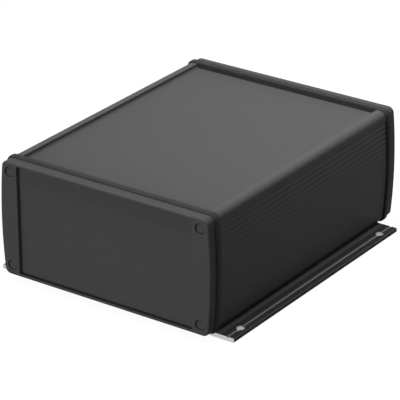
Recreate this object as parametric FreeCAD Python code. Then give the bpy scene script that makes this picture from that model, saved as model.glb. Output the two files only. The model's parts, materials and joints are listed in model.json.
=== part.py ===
import FreeCAD, Part
import math
import os

from FreeCAD import Vector

# Extruded aluminium case with mounting flanges, in millimetres.
# Origin: middle of the footprint, on the surface that the flanges rest on.
# X runs across the case, Y from the front end to the rear end, Z up.

# Case outline, as seen from the front
CASE_WIDTH = 168.5
CASE_HEIGHT = 82.0
SIDE_BOW = 2.2
CORNER_RADIUS = 4.5

# Main profile: recessed decks above and below, between rims along the corners
PROFILE_LENGTH = 200.0
SIDE_WALL = 2.8
DECK_WALL = 2.5
DECK_RECESS = 3.0
RIM_WIDTH = 9.6
RIM_ROUNDING = 0.5
RIM_STRAIGHT = 0.1

# Fine grooves on the upper half of each side
GROOVE_COUNT = 10
GROOVE_PITCH = 3.66
GROOVE_TOP_DROP = 8.1
GROOVE_CUTTER_RADIUS = 4.0
GROOVE_DEPTH_FIRST = 0.34
GROOVE_DEPTH_LAST = 0.04

# End screws, one in each corner, with hexagon sockets and plain shanks
SCREW_INSET_X = 8.2
SCREW_INSET_Z = 7.2
SCREW_HEAD_RADIUS = 3.2
SCREW_HEAD_HEIGHT = 2.4
SCREW_SHANK_RADIUS = 1.75
SCREW_SHANK_LENGTH = 18.0
SCREW_CHANNEL_FIT = 0.05
SCREW_CLEARANCE = 0.35
SOCKET_ACROSS_FLATS = 3.0
SOCKET_DEPTH = 1.3

# Solid metal round the screw channels
CORNER_BLOCK_WALL = 2.0

# Guide slots for circuit boards
SLOT_COUNT = 4
SLOT_WIDTH = 1.9
SLOT_DEPTH = 7.0
GUIDE_THICKNESS = 1.6
SLOT_ROW_MARGIN = 7.0

# Feet and mounting flanges, part of the profile; reaches are measured from the side of the case
FLANGE_REACH = 10.0
FLANGE_THICKNESS = 3.0
FLANGE_GAP = 2.0
FLANGE_TOP_ROUNDING = 0.8
FLANGE_BASE_ROUNDING = 0.5
FOOT_INSET = 5.4
FOOT_WIDTH = 5.1
HOLE_REACH = 5.0
HOLE_END_DISTANCE = 14.75
HOLE_RADIUS = 2.75
V_GROOVE_WIDTH = 1.8
V_GROOVE_DEPTH = 0.9

# End frames with a window, and the flat panels behind them
FRAME_EDGE_CHAMFER = 1.0
WINDOW_BAR = 2.2
WINDOW_SIDE_WALL = 2.2
WINDOW_ROUNDING = 1.0
PANEL_SETBACK = 3.2
PANEL_THICKNESS = 2.5
PANEL_LAP = 0.8
PANEL_CLEARANCE = 0.15

# Gaskets between frame and profile
GASKET_THICKNESS = 4.8
GASKET_PROUD = 1.5
GASKET_EDGE_CHAMFER = 0.9
GASKET_LIP_WIDTH = 3.0
GASKET_LIP_DEPTH = 1.3

# Cover caps over the screw heads
CAP_SETBACK = 0.8
CAP_THICKNESS = 1.2
CAP_CLEARANCE = 0.1
COUNTERBORE_CLEARANCE = 0.45

# Places that follow from the sizes above
CASE_BASE = FLANGE_THICKNESS + FLANGE_GAP
CASE_TOP = CASE_BASE + CASE_HEIGHT
CASE_MIDDLE = CASE_BASE + CASE_HEIGHT / 2
DECK_HALF_WIDTH = CASE_WIDTH / 2 - RIM_WIDTH
DECK_FILLET = DECK_RECESS - RIM_ROUNDING - RIM_STRAIGHT
CAVITY_HALF_HEIGHT = CASE_HEIGHT / 2 - DECK_RECESS - DECK_WALL
FLANGE_HALF_WIDTH = CASE_WIDTH / 2 + FLANGE_REACH
FOOT_OUTER_HALF_WIDTH = CASE_WIDTH / 2 - FOOT_INSET
FOOT_INNER_HALF_WIDTH = FOOT_OUTER_HALF_WIDTH - FOOT_WIDTH
HOLE_HALF_SPACING_X = CASE_WIDTH / 2 + HOLE_REACH
HOLE_HALF_SPACING_Y = PROFILE_LENGTH / 2 - HOLE_END_DISTANCE
SCREW_HALF_SPACING_X = CASE_WIDTH / 2 - SCREW_INSET_X
SCREW_HALF_SPACING_Z = CASE_HEIGHT / 2 - SCREW_INSET_Z
CHANNEL_RADIUS = SCREW_SHANK_RADIUS + SCREW_CHANNEL_FIT
SCREW_HOLE_RADIUS = SCREW_SHANK_RADIUS + SCREW_CLEARANCE
CORNER_BLOCK_MARGIN = CHANNEL_RADIUS + CORNER_BLOCK_WALL
COUNTERBORE_RADIUS = SCREW_HEAD_RADIUS + COUNTERBORE_CLEARANCE
CAP_BACK = CAP_SETBACK + CAP_THICKNESS
COUNTERBORE_DEPTH = CAP_BACK + SCREW_HEAD_HEIGHT
WINDOW_HALF_WIDTH = SCREW_HALF_SPACING_X - COUNTERBORE_RADIUS - WINDOW_SIDE_WALL
WINDOW_HALF_HEIGHT = CASE_HEIGHT / 2 - WINDOW_BAR
POCKET_HALF_WIDTH = WINDOW_HALF_WIDTH + PANEL_LAP
POCKET_HALF_HEIGHT = WINDOW_HALF_HEIGHT + PANEL_LAP
PANEL_HALF_WIDTH = POCKET_HALF_WIDTH - PANEL_CLEARANCE
PANEL_HALF_HEIGHT = POCKET_HALF_HEIGHT - PANEL_CLEARANCE
PANEL_BACK = PANEL_SETBACK + PANEL_THICKNESS
FRAME_THICKNESS = PANEL_BACK + GASKET_LIP_DEPTH
GASKET_BACK = FRAME_THICKNESS + GASKET_THICKNESS
END_FACE = PROFILE_LENGTH / 2 + GASKET_BACK

# Two places closer than this count as one
NEAR = 1e-4

ALONG = Vector(0, 1, 0)


def point(x, z, y=0.0):
    return Vector(x, y, z)


def arc(start, middle, end):
    return Part.Arc(start, middle, end).toShape()


def line(start, end):
    return Part.LineSegment(start, end).toShape()


def face_of(edges):
    return Part.Face(Part.Wire(edges))


def mirrored(shape):
    return shape.mirror(Vector(0, 0, 0), Vector(1, 0, 0))


def both_sides(shapes):
    return list(shapes) + [mirrored(shape) for shape in shapes]


def bow_radius():
    """Radius of the large arc that bows each side of the case."""
    half_height = CASE_HEIGHT / 2
    return (half_height ** 2 + SIDE_BOW ** 2) / (2 * SIDE_BOW)


def side_x(height):
    """Half-width of the case at a height above its middle."""
    radius = bow_radius()
    return CASE_WIDTH / 2 - radius + math.sqrt(radius ** 2 - height ** 2)


def case_outline(grow=0.0):
    """Case outline as a face in the XZ plane, grown outwards by the given distance."""
    half_width = CASE_WIDTH / 2 + grow
    half_height = CASE_HEIGHT / 2 + grow
    corner = CORNER_RADIUS + grow
    bow = bow_radius() + grow
    bow_centre = half_width - bow
    rise = half_height - corner
    run = math.sqrt((bow - corner) ** 2 - rise ** 2)
    centre_x = bow_centre + run
    slope = math.atan2(rise, run)
    middle = (slope + math.pi / 2) / 2
    tangent = (bow_centre + bow * math.cos(slope), bow * math.sin(slope))
    knee = (centre_x + corner * math.cos(middle), rise + corner * math.sin(middle))

    def place(x, z, side, up):
        return point(side * x, CASE_MIDDLE + up * z)

    edges = []
    for side, up in ((1, 1), (1, -1), (-1, -1), (-1, 1)):
        edges.append(arc(place(centre_x, half_height, side, up), place(*knee, side, up),
                         place(*tangent, side, up)))
    for side in (1, -1):
        edges.append(arc(place(*tangent, side, 1), place(half_width, 0, side, 1),
                         place(*tangent, side, -1)))
    for up in (1, -1):
        edges.append(line(place(centre_x, half_height, -1, up), place(centre_x, half_height, 1, up)))
    return face_of(Part.__sortEdges__(edges))


def rounded_polygon(corners):
    """Face in the XZ plane through corners given as (x, z, rounding radius)."""
    count = len(corners)
    edges = []
    ends = []
    for index, (x, z, radius) in enumerate(corners):
        here = point(x, z)
        if radius == 0:
            ends.append((here, here))
            continue
        to_last = (point(*corners[index - 1][:2]) - here).normalize()
        to_next = (point(*corners[(index + 1) % count][:2]) - here).normalize()
        half_angle = to_last.getAngle(to_next) / 2
        setback = radius / math.tan(half_angle)
        bisector = (to_last + to_next).normalize()
        knee = here + bisector * (radius / math.sin(half_angle) - radius)
        entry = here + to_last * setback
        leave = here + to_next * setback
        edges.append(arc(entry, knee, leave))
        ends.append((entry, leave))
    for index in range(count):
        leave = ends[index][1]
        entry = ends[(index + 1) % count][0]
        if leave.distanceToPoint(entry) > NEAR:
            edges.append(line(leave, entry))
    return face_of(Part.__sortEdges__(edges))


def case_rectangle(half_width, half_height, rounding=0):
    """Rectangle about the middle of the case."""
    low = CASE_MIDDLE - half_height
    high = CASE_MIDDLE + half_height
    return rounded_polygon([(-half_width, low, rounding), (half_width, low, rounding),
                            (half_width, high, rounding), (-half_width, high, rounding)])


def slab(face, start, end):
    """Solid between two depths, from a face in the XZ plane."""
    solid = face.extrude(ALONG * (end - start))
    solid.translate(ALONG * start)
    return solid


def rod(x, z, radius, start, end):
    return Part.makeCylinder(radius, end - start, point(x, z, start), ALONG)


def screw_places():
    """Name and place of each screw in an end, as seen from the front."""
    low = CASE_MIDDLE - SCREW_HALF_SPACING_Z
    high = CASE_MIDDLE + SCREW_HALF_SPACING_Z
    return {
        "bottom_left": (-SCREW_HALF_SPACING_X, low),
        "bottom_right": (SCREW_HALF_SPACING_X, low),
        "top_left": (-SCREW_HALF_SPACING_X, high),
        "top_right": (SCREW_HALF_SPACING_X, high),
    }


def deck_recess(half_width, level, outward):
    """Face to cut away between the corner rims, with a wide fillet along each rim."""
    floor = level - outward * DECK_RECESS
    beyond = level + outward * DECK_RECESS
    return rounded_polygon([(-half_width, beyond, 0), (-half_width, floor, DECK_FILLET),
                            (half_width, floor, DECK_FILLET), (half_width, beyond, 0)])


def side_grooves():
    """Round-bottomed grooves of the right side; they fade out towards the middle of the case."""
    cutters = []
    for index in range(GROOVE_COUNT):
        fade = math.cos(math.pi / 2 * index / (GROOVE_COUNT - 1))
        depth = GROOVE_DEPTH_LAST + (GROOVE_DEPTH_FIRST - GROOVE_DEPTH_LAST) * fade
        height = CASE_HEIGHT / 2 - GROOVE_TOP_DROP - index * GROOVE_PITCH
        centre = point(side_x(height) + GROOVE_CUTTER_RADIUS - depth, CASE_MIDDLE + height)
        circle = Part.Circle(centre, ALONG, GROOVE_CUTTER_RADIUS).toShape()
        cutters.append(face_of([circle]))
    return cutters


def foot_section():
    """Right foot with its mounting flange; its top lies inside the case corner that it joins."""
    joined = CASE_BASE + CORNER_RADIUS
    return rounded_polygon([
        (FOOT_INNER_HALF_WIDTH, 0, 0),
        (FLANGE_HALF_WIDTH, 0, FLANGE_BASE_ROUNDING),
        (FLANGE_HALF_WIDTH, FLANGE_THICKNESS, FLANGE_TOP_ROUNDING),
        (FOOT_OUTER_HALF_WIDTH, FLANGE_THICKNESS, FLANGE_TOP_ROUNDING),
        (FOOT_OUTER_HALF_WIDTH, joined, 0),
        (FOOT_INNER_HALF_WIDTH, joined, 0),
    ])


def v_groove_section():
    """Drill guide groove in the top of the right flange, through its hole centres."""
    half_width = V_GROOVE_WIDTH / 2
    return rounded_polygon([(HOLE_HALF_SPACING_X - half_width, FLANGE_THICKNESS, 0),
                            (HOLE_HALF_SPACING_X, FLANGE_THICKNESS - V_GROOVE_DEPTH, 0),
                            (HOLE_HALF_SPACING_X + half_width, FLANGE_THICKNESS, 0)])


def corner_blocks():
    """Solid metal round the two right-hand screw channels."""
    inner = SCREW_HALF_SPACING_X - CORNER_BLOCK_MARGIN
    reach = SCREW_INSET_Z + CORNER_BLOCK_MARGIN
    blocks = []
    for level, inward in ((CASE_BASE, 1), (CASE_TOP, -1)):
        edge = level + inward * reach
        blocks.append(rounded_polygon([(inner, level, 0), (CASE_WIDTH / 2, level, 0),
                                       (CASE_WIDTH / 2, edge, 0), (inner, edge, 0)]))
    return blocks


def board_guides():
    """Pairs of ribs on the right wall; a board slides in the slot between each pair."""
    span = 2 * (CASE_HEIGHT / 2 - SCREW_INSET_Z - CORNER_BLOCK_MARGIN - SLOT_ROW_MARGIN)
    wall = CASE_WIDTH / 2 - SIDE_WALL
    tip = wall - SLOT_DEPTH
    guides = []
    for index in range(SLOT_COUNT):
        slot = CASE_MIDDLE - span / 2 + span * index / (SLOT_COUNT - 1)
        for side in (1, -1):
            near = slot + side * SLOT_WIDTH / 2
            far = near + side * GUIDE_THICKNESS
            guides.append(rounded_polygon([(tip, near, 0), (CASE_WIDTH / 2, near, 0),
                                           (CASE_WIDTH / 2, far, 0), (tip, far, 0)]))
    return guides


def full_length(faces):
    """Solids as long as the profile, from faces in the XZ plane."""
    half = PROFILE_LENGTH / 2
    return [slab(face, -half, half) for face in faces]


def cavity_outline():
    """Space between the walls: bowed sides, parallel to the outside, and flat decks."""
    bow_centre = CASE_WIDTH / 2 - bow_radius()
    radius = bow_radius() - SIDE_WALL
    widest = bow_centre + radius
    corner = bow_centre + math.sqrt(radius ** 2 - CAVITY_HALF_HEIGHT ** 2)
    low = CASE_MIDDLE - CAVITY_HALF_HEIGHT
    high = CASE_MIDDLE + CAVITY_HALF_HEIGHT
    return face_of([line(point(-corner, low), point(corner, low)),
                    arc(point(corner, low), point(widest, CASE_MIDDLE), point(corner, high)),
                    line(point(corner, high), point(-corner, high)),
                    arc(point(-corner, high), point(-widest, CASE_MIDDLE), point(-corner, low))])


def cavity():
    """Space inside the profile, less the corner blocks and board guides."""
    inside = full_length([cavity_outline()])[0]
    return inside.cut(full_length(both_sides(corner_blocks() + board_guides())))


def profile_body():
    """The main extrusion: case tube, feet and flanges in one piece, then its holes and edges."""
    half = PROFILE_LENGTH / 2
    tube, left_foot, right_foot = full_length([case_outline()] + both_sides([foot_section()]))
    body = tube.fuse([left_foot, right_foot]).removeSplitter()
    cuts = full_length(both_sides(side_grooves() + [v_groove_section()]))
    cuts += full_length([deck_recess(DECK_HALF_WIDTH, CASE_TOP, 1),
                         deck_recess(FOOT_INNER_HALF_WIDTH, CASE_BASE, -1)])
    cuts += [rod(x, z, CHANNEL_RADIUS, -half, half) for x, z in screw_places().values()]
    body = body.cut(cuts + [cavity()])
    rim_edges = [edge for edge in body.Edges
                 if abs(abs(edge.CenterOfMass.x) - DECK_HALF_WIDTH) < NEAR
                 and abs(edge.CenterOfMass.z - CASE_TOP) < NEAR]
    body = body.makeFillet(RIM_ROUNDING, rim_edges)
    holes = [Part.makeCylinder(HOLE_RADIUS, FLANGE_THICKNESS, Vector(x, y, 0))
             for x in (-HOLE_HALF_SPACING_X, HOLE_HALF_SPACING_X)
             for y in (-HOLE_HALF_SPACING_Y, HOLE_HALF_SPACING_Y)]
    return body.cut(holes)


# The pieces of an end are built with the frame's front face at depth 0 and the case behind it.

def end_frame():
    frame = slab(case_outline(), 0, FRAME_THICKNESS)
    front_edges = [edge for edge in frame.Edges if edge.BoundBox.YMax < NEAR]
    frame = frame.makeChamfer(FRAME_EDGE_CHAMFER, front_edges)
    window = case_rectangle(WINDOW_HALF_WIDTH, WINDOW_HALF_HEIGHT, WINDOW_ROUNDING)
    pocket = case_rectangle(POCKET_HALF_WIDTH, POCKET_HALF_HEIGHT)
    cuts = [slab(window, 0, PANEL_SETBACK), slab(pocket, PANEL_SETBACK, FRAME_THICKNESS)]
    for x, z in screw_places().values():
        cuts.append(rod(x, z, COUNTERBORE_RADIUS, 0, COUNTERBORE_DEPTH))
        cuts.append(rod(x, z, SCREW_HOLE_RADIUS, COUNTERBORE_DEPTH, FRAME_THICKNESS))
    return frame.cut(cuts)


def end_panel():
    return slab(case_rectangle(PANEL_HALF_WIDTH, PANEL_HALF_HEIGHT), PANEL_SETBACK, PANEL_BACK)


def end_gasket():
    """Seal with a proud outer rim, and a lip that reaches into the frame to press on the panel."""
    ring = slab(case_outline(GASKET_PROUD), FRAME_THICKNESS, GASKET_BACK)
    rim_edges = [edge for edge in ring.Edges if edge.BoundBox.YLength < NEAR]
    ring = ring.makeChamfer(GASKET_EDGE_CHAMFER, rim_edges)
    lip = slab(case_rectangle(PANEL_HALF_WIDTH, PANEL_HALF_HEIGHT), PANEL_BACK, FRAME_THICKNESS)
    opening = slab(case_rectangle(PANEL_HALF_WIDTH - GASKET_LIP_WIDTH, CAVITY_HALF_HEIGHT),
                   PANEL_BACK, GASKET_BACK)
    holes = [rod(x, z, SCREW_HOLE_RADIUS, FRAME_THICKNESS, GASKET_BACK) for x, z in screw_places().values()]
    return ring.fuse(lip).cut([opening] + holes).removeSplitter()


def cover_cap(x, z):
    return rod(x, z, COUNTERBORE_RADIUS - CAP_CLEARANCE, CAP_SETBACK, CAP_BACK)


def screw(x, z):
    """Socket-head screw: head and shank turned as one profile, then the hexagon socket."""
    seat = CAP_BACK + SCREW_HEAD_HEIGHT
    tip = seat + SCREW_SHANK_LENGTH
    corners = [(0, CAP_BACK), (SCREW_HEAD_RADIUS, CAP_BACK), (SCREW_HEAD_RADIUS, seat),
               (SCREW_SHANK_RADIUS, seat), (SCREW_SHANK_RADIUS, tip), (0, tip)]
    points = [point(x + radius, z, depth) for radius, depth in corners]
    outline = face_of([line(start, end) for start, end in zip(points, points[1:] + points[:1])])
    body = outline.revolve(point(x, z), ALONG, 360)
    reach = SOCKET_ACROSS_FLATS / math.sqrt(3)
    hexagon = rounded_polygon([(x + reach * math.cos(turn), z + reach * math.sin(turn), 0)
                               for turn in (math.radians(60 * index) for index in range(6))])
    return body.cut(slab(hexagon, CAP_BACK, CAP_BACK + SOCKET_DEPTH))


def end_pieces():
    """Pieces of one end by name, built at depth 0."""
    pieces = {"frame": end_frame(), "panel": end_panel(), "gasket": end_gasket()}
    for place, (x, z) in screw_places().items():
        pieces["screw_" + place] = screw(x, z)
        pieces["cap_" + place] = cover_cap(x, z)
    return pieces


def main():
    os.makedirs("parts", exist_ok=True)
    nodes = {"profile_body": profile_body()}
    for name, shape in end_pieces().items():
        front = shape.copy()
        front.translate(ALONG * -END_FACE)
        nodes["front_" + name] = front
        rear = front.copy()
        rear.rotate(Vector(0, 0, 0), Vector(0, 0, 1), 180)
        nodes["rear_" + name] = rear
    for name, shape in nodes.items():
        shape.exportStep("parts/" + name + ".step")
        print(name, "solids", len(shape.Solids), "valid", shape.isValid(), "volume %.1f" % shape.Volume)


main()
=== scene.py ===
import json
import math

import bpy
from mathutils import Matrix, Vector
from mathutils.geometry import tessellate_polygon


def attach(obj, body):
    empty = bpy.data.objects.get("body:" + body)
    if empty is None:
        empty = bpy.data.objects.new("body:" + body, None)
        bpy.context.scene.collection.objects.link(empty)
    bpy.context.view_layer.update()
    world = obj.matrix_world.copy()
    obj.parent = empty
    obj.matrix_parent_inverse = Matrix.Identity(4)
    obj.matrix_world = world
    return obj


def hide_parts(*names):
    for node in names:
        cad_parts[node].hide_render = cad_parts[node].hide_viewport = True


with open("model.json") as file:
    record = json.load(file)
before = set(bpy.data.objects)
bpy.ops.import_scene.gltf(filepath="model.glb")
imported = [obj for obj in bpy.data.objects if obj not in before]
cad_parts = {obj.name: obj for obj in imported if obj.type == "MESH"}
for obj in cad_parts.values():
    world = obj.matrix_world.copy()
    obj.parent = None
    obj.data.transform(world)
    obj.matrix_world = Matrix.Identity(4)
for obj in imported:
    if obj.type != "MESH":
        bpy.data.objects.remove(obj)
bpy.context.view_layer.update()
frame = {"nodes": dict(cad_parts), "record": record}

# A millimetre in Blender's metres
MM = 0.001

# Sizes in millimetres, the same as the case's own
CASE_WIDTH = 168.5
CASE_HEIGHT = 82.0
CASE_MIDDLE = 46.0
SIDE_BOW = 2.2
CORNER_RADIUS = 4.5
END_FACE = 111.8
FRAME_THICKNESS = 7.0
WINDOW_HALF = (70.2, 38.8)
WINDOW_ROUNDING = 1.0
POCKET_HALF = (71.0, 39.6)
PANEL_HALF = (70.85, 39.45)
PANEL_SETBACK = 3.2
PANEL_BACK = 5.7
GASKET_THICKNESS = 4.8
GASKET_PROUD = 1.5
GASKET_OPENING_HALF = (67.85, 35.5)
SCREW_HALF_SPACING = (76.05, 33.8)
SCREW_HOLE_RADIUS = 2.1
COUNTERBORE_RADIUS = 3.65
COUNTERBORE_DEPTH = 4.4
CAP_RADIUS = 3.55
CAP_SETBACK = 0.8
CAP_BACK = 2.0
FLANGE_HOLE_PLACE = (89.25, 85.25)
FLANGE_HOLE_RADIUS = 2.75
FLANGE_THICKNESS = 3.0
FLANGE_EDGE = 94.25
FLANGE_ROOT = 84.0
V_GROOVE_PLACE = 89.25
V_GROOVE_HALF_WIDTH = 0.9
DECK_HALF = 74.6

# Fine roundings that the plain solids leave out
FRAME_ROUNDING = 1.2
WINDOW_EDGE_ROUNDING = 0.3
BORE_EDGE_ROUNDING = 0.25
GASKET_ROUNDING = 1.3
CAP_ROUNDING = 0.5
HIDDEN_CORNER = 0.05

# Steps along each bowed side, round each corner and round each circle
SIDE_STEPS = 16
CORNER_STEPS = 14
RECTANGLE_CORNER_STEPS = 8
CIRCLE_STEPS = 48

# Where a shade, a painted shade or a painted highlight changes, in millimetres
CAP_RING_WIDTH = 0.55
FLANGE_EDGE_BAND = 0.35
SURFACE_MARGIN = 0.02
HOLE_MARGIN = 0.06
WINDOW_MARGIN = 0.05
WINDOW_SIDE_HEIGHTS = (8.0, 84.0)
GROOVE_SIDE = 81.0
GROOVE_FIRST = 77.5
GROOVE_PITCH = 3.53
GROOVE_FADE = (44.0, 60.0)
GROOVE_TOP = 79.3

# How squarely a face has to look along an axis to count as a cut end or as a wall of the window
CUT_END_FACING = 0.9
WALL_FACING = 0.6

# Shades. Those of steel are a guess, since the photograph shows none of it. The others, and their changes
# from place to place, are fitted to the photograph and aren't known finishes
# Of these, the cap ring, sill, flange-top and deck values are painted shade, the V-groove flank, flange edge
# and window side wall values are painted highlights, and the groove value paints both
PROFILE_SHADE = 0.06
COAT_SHADE = 0.049
CAP_SHADE = 0.053
CAP_RING_PAINTED_SHADE = 0.022
RUBBER_SHADE = 0.024
BARE_METAL_SHADES = (0.44, 0.52)
STEEL_SHADES = (0.4, 0.46)
V_FLANK_PAINTED_HIGHLIGHT = 0.17
FLANGE_EDGE_PAINTED_HIGHLIGHT = 0.13
SILL_PAINTED_SHADE = 0.012
WINDOW_SIDE_PAINTED_LIGHT = 0.12
FLANGE_PAINTED_SHADE_SHARE = 0.52
DECK_PAINTED_SHADE_SHARE = 0.92
GROOVE_PAINTED_LIGHT = 0.05
COAT_MOTTLING = 0.03
RUBBER_MOTTLING = 0.07

# Gloss
COAT_SPECULAR = 0.03
RUBBER_SPECULAR = 0.06
COAT_ROUGHNESS = 0.5
CAP_ROUGHNESS = 0.55
ROUGHNESS_SPREAD = 0.03
BARE_ROUGHNESS = (0.34, 0.44)
RUBBER_ROUGHNESS = (0.58, 0.68)
STEEL_ROUGHNESS = (0.28, 0.4)

# Grain, as features in a metre and depth in metres, and how much detail it has
PROFILE_GRAIN = (2400.0, 0.000008)
POWDER_GRAIN = (1800.0, 0.00001)
CAP_GRAIN = (2600.0, 0.000008)
RUBBER_GRAIN = (3200.0, 0.000012)
GRAIN_DETAIL = 2.0

# Other patterns' features in a metre, and each pattern's share of them along X, Y and Z
COAT_MOTTLING_SCALE = 180.0
RUBBER_MOTTLING_SCALE = 260.0
SAWN_SCALE = 1500.0
TURNED_SCALE = 900.0
DIE_LINE_STRETCH = (1.0, 0.02, 1.0)
SAWN_STRETCH = (1.0, 1.0, 0.1)
TURNED_STRETCH = (1.0, 0.1, 1.0)

# The part of a noise's range that is stretched to cover a whole range of values
NOISE_RANGE = (0.25, 0.75)

# Surroundings and lamps, in metres and watts, with the lamps fitted to the photograph's brightness;
# azimuth is counted from the front towards the right
FLOOR_SIZE = 12.0
FLOOR_DROP = 0.0002
FLOOR_SHADE = 0.05
FLOOR_GLOW = 0.96
LAMP_CENTRE = (0.0, 0.0, 0.05)
LAMP_DISTANCE = 1.4
LAMP_SIZE = 0.7
LAMPS = {
    "front": {"azimuth": 354, "elevation": 12, "power": 14.2},
    "front_right": {"azimuth": 25, "elevation": 12, "power": 0.5},
    "right": {"azimuth": 120, "elevation": 60, "power": 3.2, "aim": (0.3, 0.35, 0.05), "spread": 80.0},
    "top": {"azimuth": 300, "elevation": 75, "power": 7.5, "aim": (0.35, 0.35, 0.05), "spread": 74.0},
}

# Camera, fitted to the photograph's edges, in metres, millimetres and degrees
CAMERA_PLACE = (0.89702, -1.2792, 0.75736)
CAMERA_LENS = 228.49
CAMERA_SENSOR = 36.0
CAMERA_TURN = 35.1043
CAMERA_DROP = 24.7399
CAMERA_ROLL = -0.1276

FRONTWARD = Vector((0.0, -1.0, 0.0))
REARWARD = Vector((0.0, 1.0, 0.0))


class Skin:
    """Mesh built face by face, with a stated normal at each corner."""

    def __init__(self):
        self.places = {}
        self.points = []
        self.faces = []
        self.normals = []

    def index(self, point):
        key = tuple(round(value, 4) for value in point)
        if key not in self.places:
            self.places[key] = len(self.points)
            self.points.append(point)
        return self.places[key]

    def face(self, corners):
        """One face from (point, normal) corners, turned to look the way that its normals do."""
        first, second, third = (corners[index][0] for index in (0, 1, 2))
        across = (second - first).cross(third - first)
        if len(corners) == 4:
            across = (third - first).cross(corners[3][0] - second)
        if across.dot(sum((normal for _, normal in corners), Vector())) < 0:
            corners = corners[::-1]
        self.faces.append([self.index(point) for point, _ in corners])
        self.normals.extend(normal for _, normal in corners)

    def strip(self, outline, section):
        """Band along a closed outline; the section lists growth, depth and the normal's two shares."""
        rings = []
        for grow, depth, outward, along in section:
            rings.append([(Vector((x, depth, z)), Vector((out_x * outward, along, out_z * outward)))
                          for x, z, out_x, out_z in outline(grow)])
        for ring, following in zip(rings, rings[1:]):
            for here in range(len(ring)):
                there = (here + 1) % len(ring)
                self.face([ring[here], ring[there], following[there], following[here]])

    def flat(self, normal, depth, outer, *holes):
        """Flat face across the case at a depth, inside the outer outline and round the holes."""
        loops = [[Vector((x, depth, z)) for x, z, _, _ in outline(grow)] for outline, grow in (outer, *holes)]
        points = [point for loop in loops for point in loop]
        for triangle in tessellate_polygon(loops):
            self.face([(points[index], normal) for index in triangle])

    def piece(self, name, rear, node, slot):
        """The mesh as a Blender object at one end of the case, in place of a node of the part."""
        turn = Matrix.Rotation(math.pi, 3, "Z") if rear else Matrix.Identity(3)
        shift = Vector((0.0, -END_FACE, 0.0))
        mesh = bpy.data.meshes.new(name)
        mesh.from_pydata([(turn @ (point + shift)) * MM for point in self.points], [], self.faces)
        mesh.update()
        mesh.shade_smooth()
        mesh.normals_split_custom_set([(turn @ normal).normalized() for normal in self.normals])
        piece = bpy.data.objects.new(name, mesh)
        bpy.context.collection.objects.link(piece)
        mesh.materials.append(materials[slot])
        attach(piece, "root")
        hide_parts(node)
        return piece


def case_outline(grow):
    """Case outline with bowed sides, as (x, z, outward x, outward z) all the way round."""
    rise = CASE_HEIGHT / 2 - CORNER_RADIUS
    bow = ((CASE_HEIGHT / 2) ** 2 + SIDE_BOW ** 2) / (2 * SIDE_BOW)
    bow_centre = CASE_WIDTH / 2 - bow
    run = math.sqrt((bow - CORNER_RADIUS) ** 2 - rise ** 2)
    slope = math.atan2(rise, run)
    quarter = []
    for step in range(SIDE_STEPS + 1):
        angle = slope * step / SIDE_STEPS
        quarter.append((bow_centre, 0.0, bow + grow, angle))
    for step in range(1, CORNER_STEPS + 1):
        angle = slope + (math.pi / 2 - slope) * step / CORNER_STEPS
        quarter.append((bow_centre + run, rise, CORNER_RADIUS + grow, angle))
    quarter = [(x + radius * math.cos(angle), z + radius * math.sin(angle), math.cos(angle), math.sin(angle))
               for x, z, radius, angle in quarter]
    top = quarter + [(-x, z, -out_x, out_z) for x, z, out_x, out_z in quarter[::-1]]
    bottom = [(-x, -z, -out_x, -out_z) for x, z, out_x, out_z in top[1:-1]]
    return [(x, CASE_MIDDLE + z, out_x, out_z) for x, z, out_x, out_z in top + bottom]


def rectangle(half, rounding):
    """Outline function of a rectangle about the middle of the case, with rounded corners."""
    def outline(grow):
        points = []
        for turn in range(4):
            for step in range(RECTANGLE_CORNER_STEPS + 1):
                angle = math.pi / 2 * (turn + step / RECTANGLE_CORNER_STEPS)
                sign_x = 1 if turn in (0, 3) else -1
                sign_z = 1 if turn in (0, 1) else -1
                out_x, out_z = math.cos(angle), math.sin(angle)
                points.append((sign_x * (half[0] - rounding) + (rounding + grow) * out_x,
                               CASE_MIDDLE + sign_z * (half[1] - rounding) + (rounding + grow) * out_z,
                               out_x, out_z))
        return points
    return outline


def circle(place, radius):
    """Outline function of a circle round a screw place."""
    def outline(grow):
        turns = [2 * math.pi * step / CIRCLE_STEPS for step in range(CIRCLE_STEPS)]
        return [(place[0] + (radius + grow) * math.cos(turn), place[1] + (radius + grow) * math.sin(turn),
                 math.cos(turn), math.sin(turn)) for turn in turns]
    return outline


def bend(grow, depth, radius, start, end, steps=6):
    """Section of a rounded edge round a centre, from one angle to another in degrees."""
    section = []
    for step in range(steps + 1):
        angle = math.radians(start + (end - start) * step / steps)
        outward, along = math.cos(angle), math.sin(angle)
        section.append((grow + radius * outward, depth + radius * along, outward, along))
    return section


def screw_places():
    """Name and place of each screw in an end, as seen from the front."""
    across, up = SCREW_HALF_SPACING
    return {low_high + "_" + left_right: (side * across, CASE_MIDDLE + level * up)
            for low_high, level in (("bottom", -1), ("top", 1))
            for left_right, side in (("left", -1), ("right", 1))}


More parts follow.
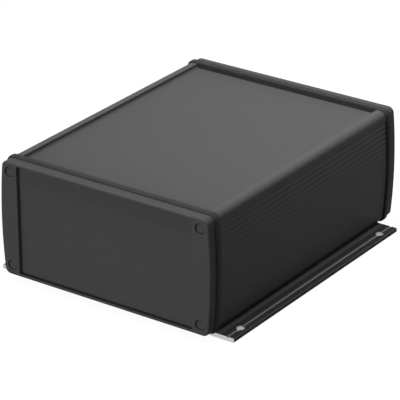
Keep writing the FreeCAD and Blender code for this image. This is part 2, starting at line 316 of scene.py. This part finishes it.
def end_frame():
    """End frame with a rounded front edge, its window, panel pocket and counterbored screw holes."""
    skin = Skin()
    window = rectangle(WINDOW_HALF, WINDOW_ROUNDING)
    pocket = rectangle(POCKET_HALF, HIDDEN_CORNER)
    bores = [circle(place, COUNTERBORE_RADIUS) for place in screw_places().values()]
    holes = [circle(place, SCREW_HOLE_RADIUS) for place in screw_places().values()]
    skin.strip(case_outline, bend(-FRAME_ROUNDING, FRAME_ROUNDING, FRAME_ROUNDING, -90, 0, 8)
               + [(0.0, FRAME_THICKNESS, 1, 0)])
    skin.strip(window, bend(WINDOW_EDGE_ROUNDING, WINDOW_EDGE_ROUNDING, WINDOW_EDGE_ROUNDING, -90, -180, 4)
               + [(0.0, PANEL_SETBACK, -1, 0)])
    skin.flat(REARWARD, PANEL_SETBACK, (pocket, 0), (window, 0))
    skin.strip(pocket, [(0.0, PANEL_SETBACK, -1, 0), (0.0, FRAME_THICKNESS, -1, 0)])
    for bore, hole in zip(bores, holes):
        skin.strip(bore, bend(BORE_EDGE_ROUNDING, BORE_EDGE_ROUNDING, BORE_EDGE_ROUNDING, -90, -180, 4)
                   + [(0.0, COUNTERBORE_DEPTH, -1, 0)])
        skin.flat(FRONTWARD, COUNTERBORE_DEPTH, (bore, 0), (hole, 0))
        skin.strip(hole, [(0.0, COUNTERBORE_DEPTH, -1, 0), (0.0, FRAME_THICKNESS, -1, 0)])
    skin.flat(FRONTWARD, 0.0, (case_outline, -FRAME_ROUNDING), (window, WINDOW_EDGE_ROUNDING),
              *[(bore, BORE_EDGE_ROUNDING) for bore in bores])
    skin.flat(REARWARD, FRAME_THICKNESS, (case_outline, 0), (pocket, 0), *[(hole, 0) for hole in holes])
    return skin


def end_gasket():
    """Rubber seal: a rounded bead that stands proud all round, and a lip that presses on the panel."""
    skin = Skin()
    back = FRAME_THICKNESS + GASKET_THICKNESS
    inset = GASKET_PROUD - GASKET_ROUNDING
    lip = rectangle(PANEL_HALF, HIDDEN_CORNER)
    opening = rectangle(GASKET_OPENING_HALF, HIDDEN_CORNER)
    holes = [circle(place, SCREW_HOLE_RADIUS) for place in screw_places().values()]
    around = [(hole, 0) for hole in holes]
    skin.strip(case_outline, bend(inset, FRAME_THICKNESS + GASKET_ROUNDING, GASKET_ROUNDING, -90, 0)
               + bend(inset, back - GASKET_ROUNDING, GASKET_ROUNDING, 0, 90))
    skin.flat(FRONTWARD, FRAME_THICKNESS, (case_outline, inset), (lip, 0), *around)
    skin.flat(REARWARD, back, (case_outline, inset), (opening, 0), *around)
    skin.flat(FRONTWARD, PANEL_BACK, (lip, 0), (opening, 0))
    skin.strip(lip, [(0.0, PANEL_BACK, 1, 0), (0.0, FRAME_THICKNESS, 1, 0)])
    skin.strip(opening, [(0.0, PANEL_BACK, -1, 0), (0.0, back, -1, 0)])
    for hole in holes:
        skin.strip(hole, [(0.0, FRAME_THICKNESS, -1, 0), (0.0, back, -1, 0)])
    return skin


def cover_cap(place):
    """Round cap with rounded edges."""
    skin = Skin()
    disc = circle(place, CAP_RADIUS)
    skin.strip(disc, bend(-CAP_ROUNDING, CAP_SETBACK + CAP_ROUNDING, CAP_ROUNDING, -90, 0, 4)
               + bend(-CAP_ROUNDING, CAP_BACK - CAP_ROUNDING, CAP_ROUNDING, 0, 90, 4))
    skin.flat(FRONTWARD, CAP_SETBACK, (disc, -CAP_ROUNDING))
    skin.flat(REARWARD, CAP_BACK, (disc, -CAP_ROUNDING))
    return skin


def dress_ends():
    """Finely rounded frames, gaskets and caps in place of the plain ones."""
    pieces = {"frame": (end_frame(), "frame"), "gasket": (end_gasket(), "gasket")}
    for name, place in screw_places().items():
        pieces["cap_" + name] = (cover_cap(place), "cap")
    for end in ("front", "rear"):
        for name, (skin, slot) in pieces.items():
            node = end + "_" + name
            skin.piece(node + "_fine", end == "rear", node, slot)


def node_material(name):
    """A new material with its node tree, its shader and the object-space texture coordinate."""
    material = bpy.data.materials.new(name)
    material.use_nodes = True
    tree = material.node_tree
    shader = tree.nodes["Principled BSDF"]
    coordinate = tree.nodes.new("ShaderNodeTexCoord")
    return material, tree, shader, coordinate.outputs["Object"]


def noise(tree, coordinate, scale, detail=3.0, stretch=None):
    """Noise with a scale in features per metre, drawn out along an axis where stretch is given."""
    if stretch:
        mapping = tree.nodes.new("ShaderNodeMapping")
        mapping.inputs["Scale"].default_value = stretch
        tree.links.new(coordinate, mapping.inputs["Vector"])
        coordinate = mapping.outputs["Vector"]
    texture = tree.nodes.new("ShaderNodeTexNoise")
    texture.inputs["Scale"].default_value = scale
    texture.inputs["Detail"].default_value = detail
    tree.links.new(coordinate, texture.inputs["Vector"])
    return texture.outputs["Fac"]


def ranged(tree, value, low, high):
    """Noise turned into numbers between low and high."""
    node = tree.nodes.new("ShaderNodeMapRange")
    node.inputs["From Min"].default_value = NOISE_RANGE[0]
    node.inputs["From Max"].default_value = NOISE_RANGE[1]
    node.inputs["To Min"].default_value = low
    node.inputs["To Max"].default_value = high
    tree.links.new(value, node.inputs["Value"])
    return node.outputs["Result"]


def calculated(tree, operation, *values):
    """Result of a math node on sockets or plain numbers."""
    node = tree.nodes.new("ShaderNodeMath")
    node.operation = operation
    for socket, value in zip(node.inputs, values):
        if isinstance(value, float):
            socket.default_value = value
        else:
            tree.links.new(value, socket)
    return node.outputs["Value"]


def scaled(tree, vector, factor):
    """A colour or place times a number, which is a socket or a plain value."""
    node = tree.nodes.new("ShaderNodeVectorMath")
    node.operation = "SCALE"
    tree.links.new(vector, node.inputs[0])
    if isinstance(factor, float):
        node.inputs["Scale"].default_value = factor
    else:
        tree.links.new(factor, node.inputs["Scale"])
    return node.outputs["Vector"]


def blended(tree, factor, first, second, kind="RGBA"):
    """Mix of two colours or two numbers, each a socket or a plain value."""
    mix = tree.nodes.new("ShaderNodeMix")
    mix.data_type = kind
    ending = {"RGBA": "Color", "FLOAT": "Float"}[kind]
    sockets = {socket.identifier: socket for socket in mix.inputs}
    tree.links.new(factor, sockets["Factor_Float"])
    for side, value in (("A_", first), ("B_", second)):
        if isinstance(value, (tuple, float)):
            sockets[side + ending].default_value = (*value, 1.0) if isinstance(value, tuple) else value
        else:
            tree.links.new(value, sockets[side + ending])
    return [socket for socket in mix.outputs if socket.identifier == "Result_" + ending][0]


def bump(tree, height, distance):
    """Normal that follows the height of a pattern."""
    node = tree.nodes.new("ShaderNodeBump")
    node.inputs["Distance"].default_value = distance
    tree.links.new(height, node.inputs["Height"])
    return node.outputs["Normal"]


def separated(tree, vector):
    """X, Y and Z of a vector."""
    node = tree.nodes.new("ShaderNodeSeparateXYZ")
    tree.links.new(vector, node.inputs["Vector"])
    return [node.outputs[axis] for axis in "XYZ"]


def place_on_case(tree, coordinate):
    """Distance to the left or right, to the front or rear, and height, in millimetres."""
    x, y, z = separated(tree, scaled(tree, coordinate, 1 / MM))
    return absolute(tree, x), absolute(tree, y), z


def face_direction(tree):
    """X, Y and Z of the face's own normal."""
    return separated(tree, tree.nodes.new("ShaderNodeNewGeometry").outputs["True Normal"])


def absolute(tree, value):
    """A value without its sign."""
    return calculated(tree, "ABSOLUTE", value)


def over(tree, value, limit):
    """1 where a value is over a limit."""
    return calculated(tree, "GREATER_THAN", value, limit)


def under(tree, value, limit):
    """1 where a value is under a limit."""
    return calculated(tree, "LESS_THAN", value, limit)


def product(tree, first, *others):
    """Several values multiplied with one another."""
    for other in others:
        first = calculated(tree, "MULTIPLY", first, other)
    return first


def within(tree, value, low, high):
    """1 where a value lies between two numbers."""
    return product(tree, over(tree, value, low), under(tree, value, high))


def within_circle(tree, across, along, radius):
    """1 where two distances put a place inside a circle."""
    squares = [product(tree, distance, distance) for distance in (across, along)]
    return under(tree, calculated(tree, "ADD", *squares), radius * radius)


def toned(tree, share, factor):
    """Factor for a colour: the one given where the share is 1, and 1 where the share is 0."""
    return calculated(tree, "MULTIPLY_ADD", share, factor - 1.0, 1.0)


def grey(value):
    """Red, green and blue of one shade."""
    return (value, value, value)


def mottled(tree, coordinate, scale, shade, spread):
    """A grey with slight mottling."""
    share = ranged(tree, noise(tree, coordinate, scale), 0.0, 1.0)
    return blended(tree, share, grey(shade * (1 - spread)), grey(shade * (1 + spread)))


def coated(name, shade, roughness, grain, stretch=None):
    """Fine satin coating: slight mottling in colour and roughness, and a fine grain."""
    material, tree, shader, coordinate = node_material(name)
    grain_scale, grain_depth = grain
    pattern = noise(tree, coordinate, grain_scale, GRAIN_DETAIL, stretch)
    colour = mottled(tree, coordinate, COAT_MOTTLING_SCALE, shade, COAT_MOTTLING)
    rough = ranged(tree, pattern, roughness - ROUGHNESS_SPREAD, roughness + ROUGHNESS_SPREAD)
    tree.links.new(colour, shader.inputs["Base Color"])
    tree.links.new(rough, shader.inputs["Roughness"])
    tree.links.new(bump(tree, pattern, grain_depth), shader.inputs["Normal"])
    shader.inputs["Specular IOR Level"].default_value = COAT_SPECULAR
    return material, tree, shader, coordinate, colour, rough


def bare_metal_share(tree, across, along):
    """1 on the extrusion's cut ends and in its flange holes, where the metal shows bare."""
    end_facing = absolute(tree, face_direction(tree)[1])
    offsets = [calculated(tree, "SUBTRACT", distance, centre)
               for distance, centre in zip((across, along), FLANGE_HOLE_PLACE)]
    in_hole = within_circle(tree, *offsets, FLANGE_HOLE_RADIUS + HOLE_MARGIN)
    return calculated(tree, "MAXIMUM", over(tree, end_facing, CUT_END_FACING), in_hole)


def v_flank_highlight_share(tree, across, height):
    """1 on the flank of the flange's V-groove that lies nearer the case, where a painted highlight goes."""
    flank = within(tree, across, V_GROOVE_PLACE - V_GROOVE_HALF_WIDTH, V_GROOVE_PLACE)
    return product(tree, flank, within(tree, height, FLANGE_THICKNESS - V_GROOVE_HALF_WIDTH,
                                       FLANGE_THICKNESS - SURFACE_MARGIN))


def flange_edge_highlight_share(tree, across, height):
    """1 along the flange's upper outer edge, where a painted highlight goes."""
    return product(tree, over(tree, across, FLANGE_EDGE - FLANGE_EDGE_BAND),
                   over(tree, height, FLANGE_THICKNESS - FLANGE_EDGE_BAND))


def groove_painted_light_and_shade(tree, across, height):
    """Factor of painted highlight and shade: a little over 1 on the lower half of each side groove and under
    1 between them.
    """
    turns = 2 * math.pi / GROOVE_PITCH
    wave = calculated(tree, "COSINE", calculated(tree, "MULTIPLY_ADD", height, turns, -turns * GROOVE_FIRST))
    run = GROOVE_FADE[1] - GROOVE_FADE[0]
    fade = calculated(tree, "MULTIPLY_ADD", height, 1 / run, -GROOVE_FADE[0] / run)
    fade = calculated(tree, "MINIMUM", calculated(tree, "MAXIMUM", fade, 0.0), 1.0)
    share = product(tree, wave, fade, over(tree, across, GROOVE_SIDE), under(tree, height, GROOVE_TOP))
    return toned(tree, share, 1.0 + GROOVE_PAINTED_LIGHT)


def profile_material():
    """Anodised extrusion with faint lengthwise die lines, bare on its cut ends and in its holes.

    Painted shade darkens the flanges' tops and the decks, painted highlights lighten the V-groove's flank and
    the flange's edge, and the side grooves carry painted highlight and shade, all fitted to the photograph.
    """
    material, tree, shader, coordinate, colour, rough = coated(
        "satin_anodised_profile", PROFILE_SHADE, COAT_ROUGHNESS, PROFILE_GRAIN, DIE_LINE_STRETCH)
    across, along, height = place_on_case(tree, coordinate)
    # Painted shade: the flange's top darkened where the case shades it
    flange = product(tree, under(tree, height, FLANGE_THICKNESS + SURFACE_MARGIN),
                     over(tree, across, FLANGE_ROOT))
    # Painted highlight and shade across the side grooves, and painted shade on the flange tops and decks
    for factor in (groove_painted_light_and_shade(tree, across, height), toned(tree, flange, FLANGE_PAINTED_SHADE_SHARE),
                   # Painted shade on the recessed decks
                   toned(tree, under(tree, across, DECK_HALF), DECK_PAINTED_SHADE_SHARE)):
        colour = scaled(tree, colour, factor)
    # Painted highlight on the V-groove's flank nearer the case
    colour = blended(tree, v_flank_highlight_share(tree, across, height), colour, grey(V_FLANK_PAINTED_HIGHLIGHT))
    # Painted highlight along the flange's upper outer edge
    colour = blended(tree, flange_edge_highlight_share(tree, across, height), colour, grey(FLANGE_EDGE_PAINTED_HIGHLIGHT))
    bare = bare_metal_share(tree, across, along)
    sawn = noise(tree, coordinate, SAWN_SCALE, GRAIN_DETAIL, SAWN_STRETCH)
    metal = blended(tree, ranged(tree, sawn, 0.0, 1.0), *map(grey, BARE_METAL_SHADES))
    rough = blended(tree, bare, rough, ranged(tree, sawn, *BARE_ROUGHNESS), "FLOAT")
    tree.links.new(blended(tree, bare, colour, metal), shader.inputs["Base Color"])
    tree.links.new(rough, shader.inputs["Roughness"])
    tree.links.new(bare, shader.inputs["Metallic"])
    return material


def frame_material():
    """Powder coat, with painted shade on the window's sill and painted light on its side walls, fitted to the
    photograph.
    """
    material, tree, shader, coordinate, colour, _ = coated(
        "powder_coated_frame", COAT_SHADE, COAT_ROUGHNESS, POWDER_GRAIN)
    across, along, height = place_on_case(tree, coordinate)
    side_facing, _, up_facing = face_direction(tree)
    wall = product(tree, within(tree, along, END_FACE - PANEL_SETBACK, END_FACE - WINDOW_EDGE_ROUNDING / 2),
                   under(tree, across, WINDOW_HALF[0] + WINDOW_MARGIN))
    sill = product(tree, wall, over(tree, up_facing, WALL_FACING),
                   under(tree, height, WINDOW_SIDE_HEIGHTS[0]))
    side = product(tree, wall, over(tree, absolute(tree, side_facing), WALL_FACING),
                   within(tree, height, *WINDOW_SIDE_HEIGHTS))
    # Painted shade on the window's recessed sill
    colour = blended(tree, sill, colour, grey(SILL_PAINTED_SHADE))
    # Painted light on the window's side walls
    colour = blended(tree, side, colour, grey(WINDOW_SIDE_PAINTED_LIGHT))
    tree.links.new(colour, shader.inputs["Base Color"])
    return material


def cap_material():
    """Matt plastic, with a ring of painted shade round each cap's edge, fitted to the photograph."""
    material, tree, shader, coordinate, colour, _ = coated(
        "matt_plastic_cap", CAP_SHADE, CAP_ROUGHNESS, CAP_GRAIN)
    across, _, height = place_on_case(tree, coordinate)
    across = calculated(tree, "SUBTRACT", across, SCREW_HALF_SPACING[0])
    level = absolute(tree, calculated(tree, "SUBTRACT", height, CASE_MIDDLE))
    level = calculated(tree, "SUBTRACT", level, SCREW_HALF_SPACING[1])
    disc = within_circle(tree, across, level, CAP_RADIUS - CAP_RING_WIDTH)
    # Painted shade: a dark ring round each cap's edge, where the gap to the counterbore lies
    tree.links.new(blended(tree, disc, grey(CAP_RING_PAINTED_SHADE), colour), shader.inputs["Base Color"])
    return material


def rubber_material():
    """Black moulded rubber with a fine grain."""
    material, tree, shader, coordinate = node_material("moulded_rubber")
    grain_scale, grain_depth = RUBBER_GRAIN
    grain = noise(tree, coordinate, grain_scale, GRAIN_DETAIL)
    rough = ranged(tree, noise(tree, coordinate, RUBBER_MOTTLING_SCALE), *RUBBER_ROUGHNESS)
    colour = mottled(tree, coordinate, RUBBER_MOTTLING_SCALE, RUBBER_SHADE, RUBBER_MOTTLING)
    tree.links.new(colour, shader.inputs["Base Color"])
    tree.links.new(rough, shader.inputs["Roughness"])
    tree.links.new(bump(tree, grain, grain_depth), shader.inputs["Normal"])
    shader.inputs["Specular IOR Level"].default_value = RUBBER_SPECULAR
    return material


def steel_material():
    """Turned stainless steel."""
    material, tree, shader, coordinate = node_material("stainless_steel")
    turned = noise(tree, coordinate, TURNED_SCALE, stretch=TURNED_STRETCH)
    colour = blended(tree, ranged(tree, turned, 0.0, 1.0), *map(grey, STEEL_SHADES))
    tree.links.new(colour, shader.inputs["Base Color"])
    tree.links.new(ranged(tree, turned, *STEEL_ROUGHNESS), shader.inputs["Roughness"])
    shader.inputs["Metallic"].default_value = 1.0
    return material


def add_camera():
    """Camera with a long lens, turned about the vertical, then tipped down, then rolled."""
    data = bpy.data.cameras.new("camera")
    data.sensor_width = CAMERA_SENSOR
    data.lens = CAMERA_LENS
    data.clip_start = 0.05
    data.clip_end = 50.0
    camera = bpy.data.objects.new("camera", data)
    camera.location = CAMERA_PLACE
    camera.rotation_euler = (Matrix.Rotation(math.radians(CAMERA_TURN), 3, "Z")
                             @ Matrix.Rotation(math.radians(90.0 - CAMERA_DROP), 3, "X")
                             @ Matrix.Rotation(math.radians(CAMERA_ROLL), 3, "Z")).to_euler()
    bpy.context.collection.objects.link(camera)
    bpy.context.scene.camera = camera


def add_lamp(name, azimuth, elevation, power, aim=LAMP_CENTRE, spread=180.0):
    """Soft round lamp that looks at a point, from a set distance off the middle of the case."""
    around, up = math.radians(azimuth), math.radians(elevation)
    towards = Vector((math.sin(around) * math.cos(up), -math.cos(around) * math.cos(up), math.sin(up)))
    data = bpy.data.lights.new(name, "AREA")
    data.shape = "DISK"
    data.size = LAMP_SIZE
    data.energy = power
    data.spread = math.radians(spread)
    lamp = bpy.data.objects.new(name, data)
    lamp.location = Vector(LAMP_CENTRE) + towards * LAMP_DISTANCE
    lamp.rotation_euler = (lamp.location - Vector(aim)).to_track_quat("Z", "Y").to_euler()
    bpy.context.collection.objects.link(lamp)


def seen_directly(tree):
    """1 for camera, glossy and transmission rays, which see the white surroundings."""
    path = tree.nodes.new("ShaderNodeLightPath").outputs
    reflected = calculated(tree, "MAXIMUM", path["Is Glossy Ray"], path["Is Transmission Ray"])
    return calculated(tree, "MAXIMUM", path["Is Camera Ray"], reflected)


def add_floor():
    """Pale floor that shows as white and keeps a faint shadow."""
    bpy.ops.mesh.primitive_plane_add(size=FLOOR_SIZE, location=(0.0, 0.0, -FLOOR_DROP))
    floor = bpy.context.object
    floor.name = "floor"
    material = bpy.data.materials.new("pale_floor")
    material.use_nodes = True
    tree = material.node_tree
    tree.nodes.clear()
    out = tree.nodes.new("ShaderNodeOutputMaterial")
    add = tree.nodes.new("ShaderNodeAddShader")
    diffuse = tree.nodes.new("ShaderNodeBsdfDiffuse")
    diffuse.inputs["Color"].default_value = (*grey(FLOOR_SHADE), 1.0)
    glow = tree.nodes.new("ShaderNodeEmission")
    tree.links.new(calculated(tree, "MULTIPLY", seen_directly(tree), FLOOR_GLOW), glow.inputs["Strength"])
    tree.links.new(diffuse.outputs["BSDF"], add.inputs[0])
    tree.links.new(glow.outputs["Emission"], add.inputs[1])
    tree.links.new(add.outputs["Shader"], out.inputs["Surface"])
    floor.data.materials.append(material)


def set_world():
    """White surroundings for the camera and for reflections, which give no other light."""
    world = bpy.data.worlds.new("studio")
    bpy.context.scene.world = world
    world.use_nodes = True
    tree = world.node_tree
    background = tree.nodes["Background"]
    background.inputs["Color"].default_value = (1.0, 1.0, 1.0, 1.0)
    tree.links.new(seen_directly(tree), background.inputs["Strength"])


materials = {
    "profile": profile_material(),
    "frame": frame_material(),
    "panel": coated("powder_coated_panel", COAT_SHADE, COAT_ROUGHNESS, POWDER_GRAIN)[0],
    "gasket": rubber_material(),
    "screw": steel_material(),
    "cap": cap_material(),
}
slots = {entry["node"]: entry["material_slot"] for entry in frame["record"]["subparts"]}
for name, node in frame["nodes"].items():
    for slot in node.material_slots:
        slot.material = materials[slots[name]]
dress_ends()

add_camera()
add_floor()
set_world()
for name, settings in LAMPS.items():
    add_lamp(name, **settings)
bpy.context.scene.view_settings.view_transform = "Standard"
